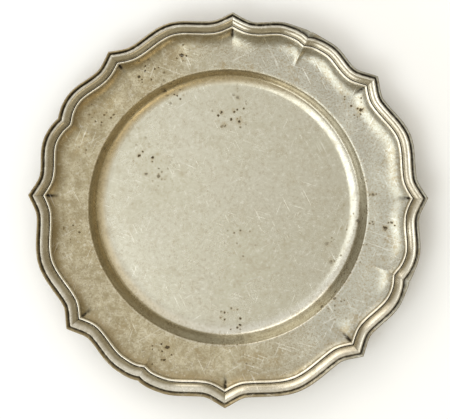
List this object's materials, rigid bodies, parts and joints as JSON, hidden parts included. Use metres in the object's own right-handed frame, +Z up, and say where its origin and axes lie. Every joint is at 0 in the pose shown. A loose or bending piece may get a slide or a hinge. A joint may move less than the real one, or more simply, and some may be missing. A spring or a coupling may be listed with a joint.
{
  "type": "offering plate",
  "caption": "Shallow metal offering plate with a round flat-floored well, a wide flange and a shaped rim edged by mitred half-round mouldings and a thin bead.",
  "frame": {"origin": "on the table under the middle of the plate's outline, at the underside of the floor", "axes": "+Z up out of the well; +Y towards the rim corner shown uppermost; +X to the right of it"},
  "size_m": [0.3018, 0.3025, 0.0272],
  "materials": {
    "worn_sheet": "worn satin",
    "worn_moulding": "worn polished",
    "worn_bead": "worn polished"
  },
  "bodies": {
    "root": {"plate_body": "worn_sheet", "rim_moulding_01": "worn_moulding", "rim_moulding_02": "worn_moulding", "rim_moulding_03": "worn_moulding", "rim_moulding_04": "worn_moulding", "rim_moulding_05": "worn_moulding", "rim_moulding_06": "worn_moulding", "rim_moulding_07": "worn_moulding", "rim_moulding_08": "worn_moulding", "rim_moulding_09": "worn_moulding", "rim_moulding_10": "worn_moulding", "rim_moulding_11": "worn_moulding", "rim_moulding_12": "worn_moulding", "bead_wire_01": "worn_bead", "bead_wire_02": "worn_bead", "bead_wire_03": "worn_bead", "bead_wire_04": "worn_bead", "bead_wire_05": "worn_bead", "bead_wire_06": "worn_bead", "bead_wire_07": "worn_bead", "bead_wire_08": "worn_bead", "bead_wire_09": "worn_bead", "bead_wire_10": "worn_bead", "bead_wire_11": "worn_bead", "bead_wire_12": "worn_bead"}
  },
  "joints": []
}
